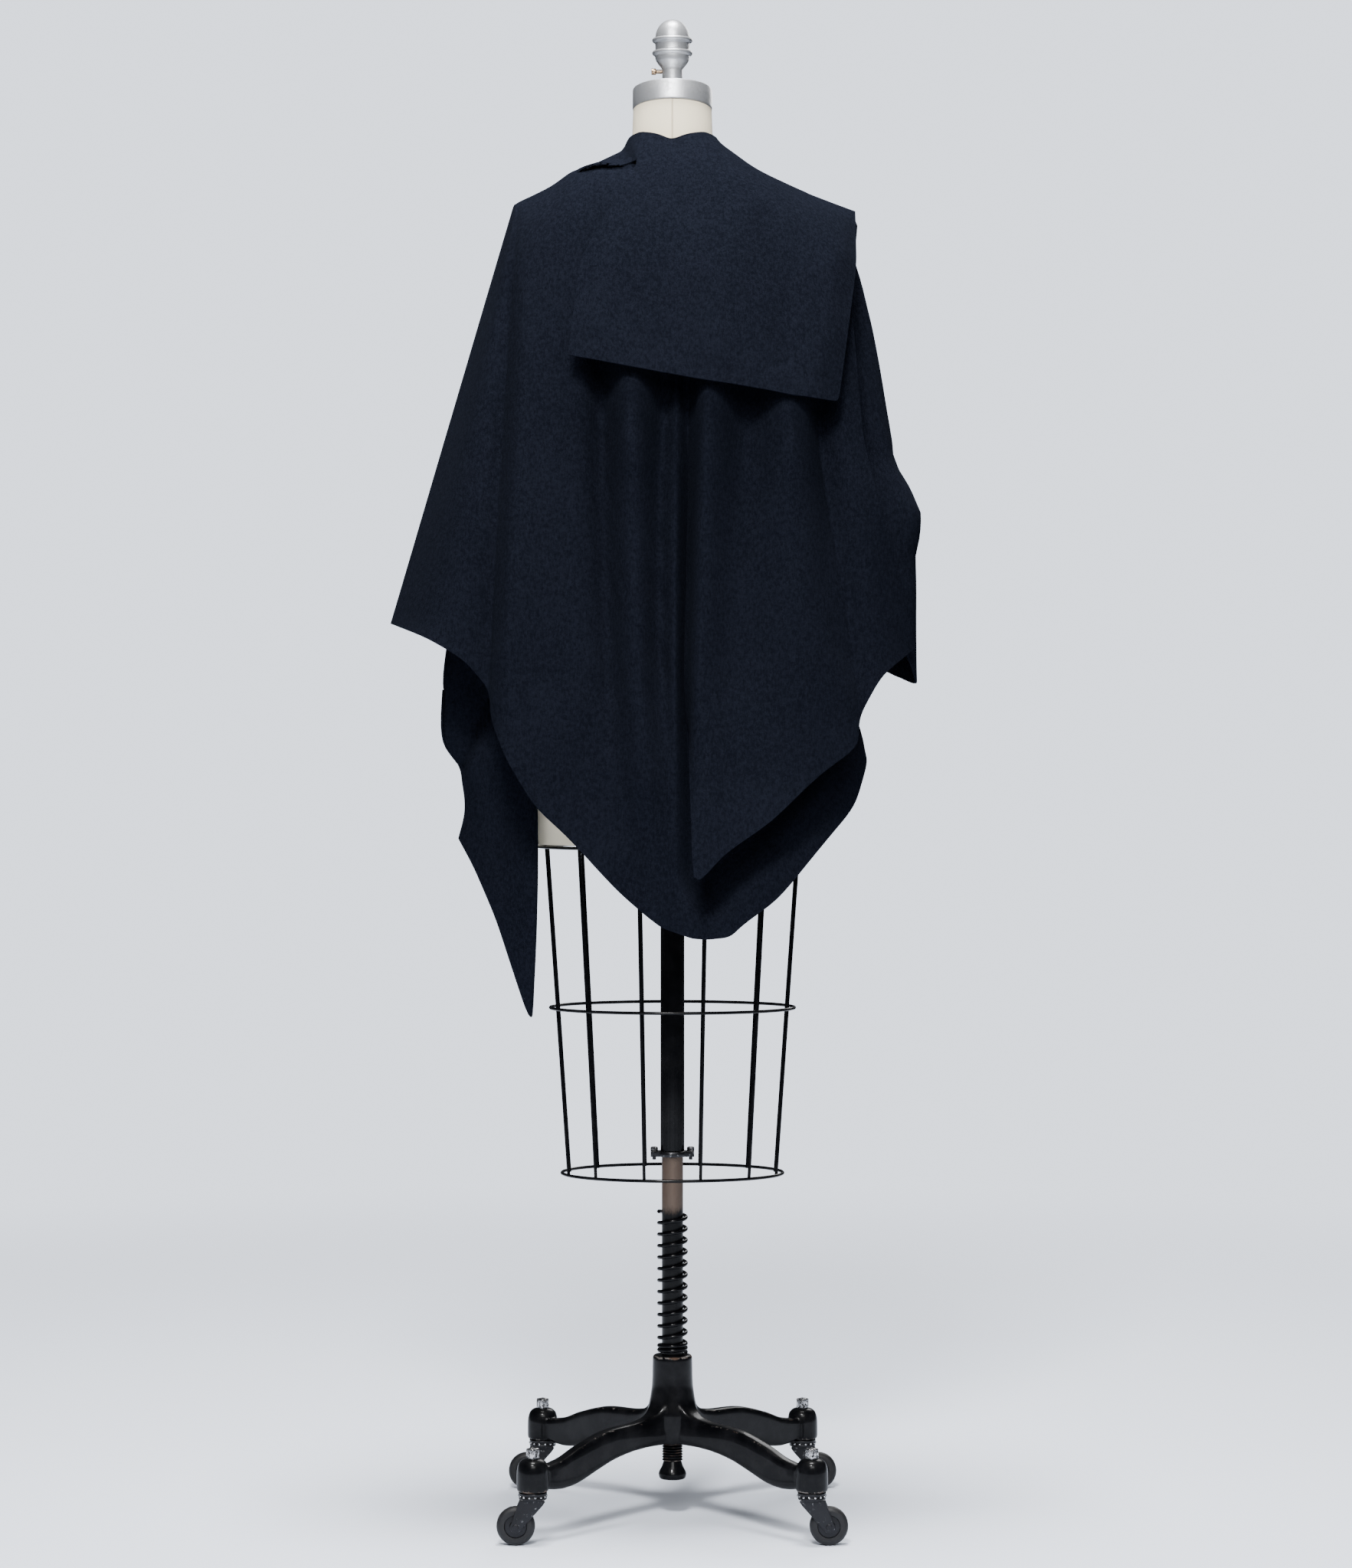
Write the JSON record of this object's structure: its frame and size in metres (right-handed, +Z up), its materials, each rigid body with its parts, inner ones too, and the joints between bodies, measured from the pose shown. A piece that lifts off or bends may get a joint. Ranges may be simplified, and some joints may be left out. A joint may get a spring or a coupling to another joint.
{
  "type": "asymmetric sleeveless felted wool jacket on a limbless dress form with a wheeled stand",
  "caption": "Dark navy felted wool jacket with a wide collar fall and stepped hems, worn on a limbless dress form with a skirt cage and a wheeled iron stand",
  "frame": {"origin": "on the floor, on the axis of the pole", "axes": "+Z up; the jacket's back faces -Y; +X is to the right as the back is looked at"},
  "size_m": [0.594, 0.366, 1.68],
  "materials": {
    "navy_felt": "matte, short mottled nap",
    "cream_linen": "plain weave, slightly yellowed",
    "brushed_silver": "brushed, worn",
    "aged_brass": "dull, a little rusty",
    "black_steel": "gloss black enamel",
    "black_iron": "gloss black paint, chipped along the edges",
    "brown_steel": "brown, lightly rusted",
    "dark_steel": "dark, worn bright at the edges",
    "black_rubber": "satin"
  },
  "bodies": {
    "base": {"base_casting": "black_iron", "pole": "brown_steel", "coil_spring": "black_steel", "foot_screw": "black_iron", "caster_peg_1": "dark_steel", "caster_peg_2": "dark_steel", "caster_peg_3": "dark_steel", "caster_peg_4": "dark_steel"},
    "clamp": {"height_clamp": "dark_steel", "clamp_bolt_left": "dark_steel", "clamp_bolt_right": "dark_steel"},
    "form": {"torso_form": "cream_linen", "neck_cap": "brushed_silver", "finial": "brushed_silver", "finial_screw": "aged_brass", "outer_tube": "black_steel", "cage_wire_01": "black_steel", "cage_wire_02": "black_steel", "cage_wire_03": "black_steel", "cage_wire_04": "black_steel", "cage_wire_05": "black_steel", "cage_wire_06": "black_steel", "cage_wire_07": "black_steel", "cage_wire_08": "black_steel", "cage_wire_09": "black_steel", "cage_wire_10": "black_steel", "cage_wire_11": "black_steel", "cage_wire_12": "black_steel", "cage_ring_top": "black_steel", "cage_ring_middle": "black_steel", "cage_ring_low": "black_steel", "back_left_panel": "navy_felt", "back_right_panel": "navy_felt", "front_left_panel": "navy_felt", "front_right_panel": "navy_felt", "collar_fall": "navy_felt", "left_tail": "navy_felt"},
    "caster_1": {"caster_fork_1": "dark_steel"},
    "caster_2": {"caster_fork_2": "dark_steel"},
    "caster_3": {"caster_fork_3": "dark_steel"},
    "caster_4": {"caster_fork_4": "dark_steel"},
    "wheel_1": {"caster_wheel_1": "black_rubber"},
    "wheel_2": {"caster_wheel_2": "black_rubber"},
    "wheel_3": {"caster_wheel_3": "black_rubber"},
    "wheel_4": {"caster_wheel_4": "black_rubber"}
  },
  "joints": [
    {"name": "height_slide", "type": "slide", "parent": "base", "child": "clamp", "axis": [0, 0, 1], "range_m": [-0.055, 0.15]},
    {"name": "form_turn", "type": "hinge", "parent": "clamp", "child": "form", "pos_m": [0, 0, 0.4118], "axis": [0, 0, 1], "continuous": true},
    {"name": "caster_swivel_1", "type": "hinge", "parent": "base", "child": "caster_1", "pos_m": [-0.1515, -0.155, 0.0577], "axis": [0, 0, 1], "continuous": true},
    {"name": "caster_swivel_2", "type": "hinge", "parent": "base", "child": "caster_2", "pos_m": [0.1515, -0.155, 0.0577], "axis": [0, 0, 1], "continuous": true},
    {"name": "caster_swivel_3", "type": "hinge", "parent": "base", "child": "caster_3", "pos_m": [0.1515, 0.155, 0.0577], "axis": [0, 0, 1], "continuous": true},
    {"name": "caster_swivel_4", "type": "hinge", "parent": "base", "child": "caster_4", "pos_m": [-0.1515, 0.155, 0.0577], "axis": [0, 0, 1], "continuous": true},
    {"name": "wheel_spin_1", "type": "hinge", "parent": "caster_1", "child": "wheel_1", "pos_m": [-0.17, -0.155, 0.021], "axis": [0, 1, 0], "continuous": true},
    {"name": "wheel_spin_2", "type": "hinge", "parent": "caster_2", "child": "wheel_2", "pos_m": [0.17, -0.155, 0.021], "axis": [0, 1, 0], "continuous": true},
    {"name": "wheel_spin_3", "type": "hinge", "parent": "caster_3", "child": "wheel_3", "pos_m": [0.17, 0.155, 0.021], "axis": [0, 1, 0], "continuous": true},
    {"name": "wheel_spin_4", "type": "hinge", "parent": "caster_4", "child": "wheel_4", "pos_m": [-0.17, 0.155, 0.021], "axis": [0, 1, 0], "continuous": true}
  ]
}
